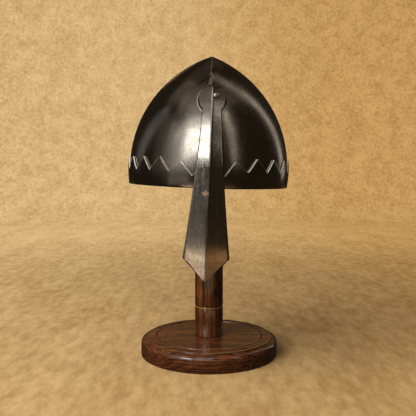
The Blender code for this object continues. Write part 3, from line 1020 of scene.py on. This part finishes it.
# The filed finish is pale and nearly without metal: filed steel with a painted highlight.
filed_highlight_steel = make_steel(
    "filed edge highlight", (0.97, 0.95, 0.90), (0.85, 0.81, 0.74), EDGE_POLISH, EDGE_HAMMER, metal=0.05
)
sawn_steel = make_steel(
    "sawn edge", (0.55, 0.42, 0.28), (0.36, 0.26, 0.16), EDGE_POLISH, EDGE_HAMMER, metal=0.4
)
# A near-black steel for the nasal's edges: a painted shadow of the gap under the plate.
shadow_steel = make_steel(
    "edge shadow steel", (0.05, 0.044, 0.037), (0.03, 0.026, 0.02), EDGE_POLISH, EDGE_HAMMER
)
print("Steel of the edges:", filed_highlight_steel.name, sawn_steel.name, shadow_steel.name)

# %% [markdown]
# ## Stained wood
# The stand is a coarse-grained hardwood under a dark red-brown stain and varnish. Grain is noise
# that is drawn out along the board: narrow across it and long with it. The stain sinks into the
# pores, which stay nearly black, and the ridges between them show through orange. Varnish is the
# coat on top: clear, smoother than the wood, and the source of the highlights. On the base the
# turned lips get a paler brown here and there, a painted highlight, and the hollows beside them a
# near-black painted shade.


# %% The wood of the stand
UPRIGHT = 2
PORE_COLOUR = (0.006, 0.003, 0.002, 1)
# The paler lip colour is a painted highlight, and the near-black hollow colour is a painted shade.
LIP_HIGHLIGHT_COLOUR = (0.42, 0.22, 0.09, 1)
HOLLOW_SHADE_COLOUR = (0.004, 0.002, 0.001, 1)
GROOVE_LIP = GROOVE_RADIUS - 1.5 * GROOVE_HALF
STEP_LIP = PLATEAU_RADIUS - 0.0005
STEP_HOLLOW = PLATEAU_RADIUS + 0.0008


def make_wood(name, grain_axis, contrast, coat, lips=(), hollows=()):
    """Stained wood. lips and hollows are radii of its painted highlight and shade lines on top."""
    finish = new_finish(name)
    stretch = [1.0, 1.0, 1.0]
    stretch[grain_axis] = 0.08
    if grain_axis != UPRIGHT:
        stretch[UPRIGHT] = 2.2
    board = place_of(finish, scale=tuple(stretch))
    streaks = cloud(finish, board, 760, detail=4, roughness=0.62, distortion=0.3)
    pores_stretch = [1.0, 1.0, 1.0]
    pores_stretch[grain_axis] = 0.07
    pores = cloud(finish, place_of(finish, scale=tuple(pores_stretch)), 1300, detail=2)
    bands = cloud(finish, board, 230, detail=3, roughness=0.5, distortion=0.5)
    figure = combine(finish, "MULTIPLY_ADD", bands, 0.75, combine(finish, "MULTIPLY", streaks, 0.5))
    stain = colour_ramp(
        finish,
        figure,
        [
            (0.40, (0.014, 0.005, 0.0025)),
            (0.56, (0.060, 0.018, 0.0065)),
            (0.66, (0.155, 0.045, 0.013)),
            (0.82, (0.36 * contrast, 0.105 * contrast, 0.022 * contrast)),
        ],
    )
    pore = spread(finish, pores, 0.56, 0.66)
    colour = blend_colour(finish, combine(finish, "MULTIPLY", pore, 0.8), stain, PORE_COLOUR)
    radius = distance_from_middle(finish, place_of(finish, scale=(1, 1, 0)))
    patchy = spread(finish, cloud(finish, place_of(finish), 22, detail=2), 0.42, 0.62)
    # Pale lines on the lips are painted highlight and dark lines in the hollows painted shade,
    # broken up by noise.
    for places, half, tone, share in (
        (lips, 0.0006, LIP_HIGHLIGHT_COLOUR, 0.7),
        (hollows, 0.0009, HOLLOW_SHADE_COLOUR, 0.9),
    ):
        for place in places:
            line = combine(finish, "COMPARE", radius, place, half)
            line = combine(finish, "MULTIPLY", line, share)
            line = combine(finish, "MULTIPLY", line, patchy)
            colour = blend_colour(finish, line, colour, tone)
    rough = spread(finish, streaks, 0.3, 0.7, 0.5, 0.32)
    relief = combine(finish, "SUBTRACT", streaks, combine(finish, "MULTIPLY", pore, 0.6))
    normal = bump(finish, relief, 0.25, 0.0004)
    coat_normal = bump(finish, relief, 0.08, 0.0003)
    shader_of(
        finish,
        [
            ("Base Color", colour),
            ("Roughness", rough),
            ("Normal", normal),
            ("Coat Weight", coat),
            ("Specular IOR Level", 0.25),
            ("Coat Roughness", 0.1),
            ("Coat IOR", 1.9),
            ("Coat Normal", coat_normal),
        ],
    )
    return finish


base_wood = make_wood(
    "base wood",
    grain_axis=0,
    contrast=0.85,
    coat=1.0,
    lips=(GROOVE_LIP, STEP_LIP),
    hollows=(GROOVE_RADIUS, STEP_HOLLOW),
)
post_wood = make_wood("post wood", grain_axis=UPRIGHT, contrast=1.2, coat=0.8)
head_wood = make_wood("head wood", grain_axis=0, contrast=0.8, coat=0.2)
print("Wood finishes:", base_wood.name, post_wood.name, head_wood.name)

# %% [markdown]
# ## Brass
# The ring is polished brass with a little tarnish, which is browner and duller.

# %% The brass of the ring
brass = new_finish("ring brass")
tarnish = cloud(brass, place_of(brass), 300, detail=4)
BRIGHT_BRASS = (0.95, 0.66, 0.24, 1)
DULL_BRASS = (0.62, 0.38, 0.12, 1)
brass_colour = blend_colour(brass, spread(brass, tarnish, 0.4, 0.7), BRIGHT_BRASS, DULL_BRASS)
shader_of(
    brass,
    [
        ("Base Color", brass_colour),
        ("Metallic", 0.6),
        ("Roughness", spread(brass, tarnish, 0.4, 0.7, 0.14, 0.3)),
        ("Normal", bump(brass, cloud(brass, place_of(brass, scale=(1, 1, 8)), 400), 0.1, 0.0001)),
    ],
)
print("Brass finish:", brass.name)

# %% [markdown]
# ## Dressing the frame
# Every new piece stands for one CAD node, whose solid it hides, takes its finishes from its row
# of the table, and rides on the one body that this object has.

# %% Give each piece its finish
outfits = [
    (skull, "skull", "skull_steel", [skull_steel, inner_steel]),
    (band, "brow_band", "band_steel", [band_steel, filed_highlight_steel, sawn_steel]),
    (nasal, "nasal", "nasal_steel", [nasal_steel, shadow_steel]),
    (rivet, "nasal_rivet", "rivet_steel", [rivet_steel]),
    (base, "stand_base", "base_wood", [base_wood]),
    (post_low, "post_lower", "post_wood", [post_wood]),
    (ring, "post_ring", "ring_brass", [brass]),
    (post_high, "post_upper", "post_wood", [post_wood]),
    (head, "stand_head", "head_wood", [head_wood]),
]
for piece, node, slot, finishes in outfits:
    indices = [face.material_index for face in piece.data.polygons]
    piece.data.materials.clear()
    for finish in finishes:
        piece.data.materials.append(finish)
    for face, index in zip(piece.data.polygons, indices):
        face.material_index = min(index, len(finishes) - 1)
    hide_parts(node)
    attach(piece, "root")
print("Pieces:", len(outfits))

# %% [markdown]
# ## The studio
# A pale floor runs up into a pale wall all round, so that no horizon shows from any side. They
# are seen by the camera alone. In the photograph the steel is dark round its edges, as in a dark
# room, so its reflections come from the lamps and from cards that stand in for the bright floor.
# Far from the stand, where the lamps don't reach, the paper glows a little by itself. Towards +x
# its colour is darker and browner: a painted shade.

# %% Floor and wall
FLOOR_RADIUS = 2.3
COVE_RADIUS = 0.6
WALL_HEIGHT = 1.8
STUDIO_STEPS = 64
PAPER_DARK = (0.58, 0.355, 0.145, 1)
PAPER_LIGHT = (0.88, 0.615, 0.295, 1)
PAPER_RIGHT_SHADE = (0.82, 0.70, 0.52, 1)
BLACK = (0, 0, 0, 1)

paper = new_finish("pale paper")
paper_place = place_of(paper, scale=(1, 0.35, 1))
wide_cloud = cloud(paper, paper_place, 13, detail=5, roughness=0.7)
fine_cloud = cloud(paper, paper_place, 70, detail=4, roughness=0.7)
paper_cloud = combine(paper, "MULTIPLY_ADD", wide_cloud, 0.7, fine_cloud)
paper_colour = blend_colour(
    paper, spread(paper, paper_cloud, 0.65, 1.05), PAPER_DARK, PAPER_LIGHT
)
# Towards +x the paper is darker and browner: painted shade, as the light falls off there.
sideways = add_node(paper, "SeparateXYZ", [(0, paper_place)]).outputs["X"]
right_shade = spread(paper, sideways, -0.5, 0.8, 0, 1, "SMOOTHSTEP")
paper_colour = blend_colour(paper, right_shade, paper_colour, PAPER_RIGHT_SHADE, "MULTIPLY")
from_middle = distance_from_middle(paper, place_of(paper, scale=(1, 1, 0)))
glow = spread(paper, from_middle, 0.15, 1.9, 0, 0.72, "SMOOTHSTEP")
shader_of(
    paper,
    [
        ("Base Color", blend_colour(paper, 0.15, paper_colour, BLACK)),
        ("Roughness", 0.85),
        ("Specular IOR Level", 0.1),
        ("Emission Color", paper_colour),
        ("Emission Strength", glow),
    ],
)

profile = [(0, 0), (0.3, 0), (1, 0), (FLOOR_RADIUS, 0)]
floor = turn_on_lathe("studio_floor", profile, STUDIO_STEPS)
profile = [(FLOOR_RADIUS, 0)]
profile += arc(FLOOR_RADIUS, COVE_RADIUS, COVE_RADIUS, -90, 0, 12)[1:]
profile += [(FLOOR_RADIUS + COVE_RADIUS, WALL_HEIGHT)]
wall = turn_on_lathe("studio_wall", profile, STUDIO_STEPS)
for screen in (floor, wall):
    screen.visible_glossy = False
    screen.visible_diffuse = False
    shade(screen, 40)
    screen.data.materials.append(paper)
print("Studio is", 2 * (FLOOR_RADIUS + COVE_RADIUS), "m across")

# %% [markdown]
# ## The lamps
# Each lamp is a soft panel, given by where the helmet sees it: its direction, its height above
# the level, and how many degrees it covers. Its power follows from its brightness and area, so a
# panel can be made larger without looking brighter in the steel. Steel mirrors what lies in one
# direction, so each highlight in the photograph tells where a panel has to hang. The last two
# panels light the wood and the floor and aren't seen in the steel.

# %% Hang the lamps
LIT_POINT = Vector((0, 0, 0.27))
NASAL_POINT = Vector((0, -0.115, 0.125))
BASE_POINT = Vector((0, 0, BASE_HEIGHT))


def hang_panel(
    name,
    azimuth,
    elevation,
    width,
    height,
    brightness,
    colour,
    distance=1.6,
    seen=True,
    roll=0,
    seen_from=LIT_POINT,
    on_wood=True,
):
    """Angles are in degrees. The azimuth is 0 towards the camera and grows towards +x."""
    turn, rise = math.radians(azimuth), math.radians(elevation)
    way = Vector(
        (math.sin(turn) * math.cos(rise), -math.cos(turn) * math.cos(rise), math.sin(rise))
    )
    bpy.ops.object.light_add(type="AREA", location=seen_from + way * distance)
    panel = bpy.context.object
    panel.name = name
    facing = way.to_track_quat("Z", "Y").to_matrix() @ Matrix.Rotation(math.radians(roll), 3, "Z")
    panel.rotation_euler = facing.to_euler()
    panel.data.shape = "RECTANGLE"
    panel.data.size = 2 * distance * math.tan(math.radians(width / 2))
    panel.data.size_y = 2 * distance * math.tan(math.radians(height / 2))
    panel.data.color = colour
    panel.data.energy = brightness * math.pi * panel.data.size * panel.data.size_y
    panel.visible_camera = False
    panel.visible_glossy = seen
    panel.visible_diffuse = on_wood


# The main lamp on the left and its soft border
hang_panel("key_panel", -37.5, 17, 18, 18, 4.3, (1, 0.98, 0.95))
hang_panel("key_wrap", -54, 17, 14, 24, 0.62, (1, 0.95, 0.88))
hang_panel("key_wrap_mid", -66, 17, 12, 28, 0.28, (1, 0.94, 0.86))
hang_panel("key_wrap_far", -80, 17, 16, 34, 0.07, (1, 0.92, 0.82))
hang_panel("key_high", -41, 30, 24, 9, 1.0, (1, 0.95, 0.86))
hang_panel("key_top", -42, 40, 26, 12, 0.28, (1, 0.93, 0.82))
hang_panel("key_low", -53, 3, 18, 9, 0.28, (1, 0.94, 0.85))

# The floor to the left as the band mirrors it, and the room above and in front
hang_panel("band_card", -50, -7, 26, 5, 0.3, (1, 0.92, 0.8))
hang_panel("front_strip", -10, 35, 28, 62, 0.7, (1, 0.93, 0.84))
hang_panel("upper_front", -25, 56, 75, 24, 0.14, (1, 0.86, 0.7))
hang_panel("upper_left", -84, 52, 44, 18, 0.1, (1, 0.84, 0.64))
hang_panel("upper_right", 82, 50, 50, 16, 0.07, (1, 0.84, 0.64))

# The narrow lamp whose reflection stands to the right of the nasal
hang_panel("fill_high", 47.5, 41, 8, 8, 0.36, (1, 0.9, 0.75))
hang_panel("fill_panel", 47.5, 29, 8, 16, 0.95, (1, 0.9, 0.75))
hang_panel("fill_low", 46.5, 12, 8, 18, 0.5, (1, 0.88, 0.72))

# The streaks near the outline on both sides, and faint glows from above and behind
hang_panel("rim_panel", 121, 20, 9, 52, 0.7, (1, 0.87, 0.74), roll=22, on_wood=False)
hang_panel("rim_high", 98, 55, 10, 28, 0.3, (1, 0.86, 0.72), roll=16, on_wood=False)
hang_panel("crown_glow", -150, 62, 70, 24, 0.03, (1, 0.8, 0.55))
hang_panel("cool_panel", -109, 20, 14, 42, 0.16, (1, 0.95, 0.95), roll=-38)
hang_panel("back_glow", -166, 25, 10, 6, 0.3, (1, 0.72, 0.42))

# The floor as the end of the nasal mirrors it, and the wall as the top of the base mirrors it
hang_panel(
    "low_card", -41, -8.5, 18, 10, 1.6, (1, 0.78, 0.55), 0.5, seen_from=NASAL_POINT, on_wood=False
)
hang_panel(
    "front_card", 0, -14, 56, 14, 0.4, (1, 0.78, 0.5), 0.5, seen_from=NASAL_POINT, on_wood=False
)
hang_panel(
    "brown_card", 41, -11.5, 18, 11, 0.42, (1, 0.52, 0.2), 0.5, seen_from=NASAL_POINT, on_wood=False
)
hang_panel(
    "back_card", 180, 18, 100, 14, 0.12, (1, 0.55, 0.22), 0.35, seen_from=BASE_POINT, on_wood=False
)

# The light on the wood and the floor
hang_panel("soft_key", -50, 34, 44, 40, 3.4, (1, 0.96, 0.9), seen=False)
hang_panel("ceiling_panel", -60, 66, 60, 60, 1.5, (1, 0.96, 0.9), distance=1.7, seen=False)

# %% [markdown]
# ## The air
# A faint even light fills the darkest places. What is mirrored of it is browner, because in the
# photograph the dark parts of the steel have a brown tone.

# %% Fill the air
AIR_COLOUR = (1.0, 0.93, 0.84, 1)
MIRRORED_COLOUR = (0.70, 0.49, 0.285, 1)
AIR_STRENGTH = 0.035

world = bpy.data.worlds.new("studio_air")
bpy.context.scene.world = world
world.use_nodes = True
ray = add_node(world, "LightPath")
tone = blend_colour(world, ray.outputs["Is Glossy Ray"], AIR_COLOUR, MIRRORED_COLOUR)
background = world.node_tree.nodes["Background"]
world.node_tree.links.new(tone, background.inputs["Color"])
background.inputs["Strength"].default_value = AIR_STRENGTH
bpy.context.scene.view_settings.view_transform = "Standard"
print("Air:", world.name)
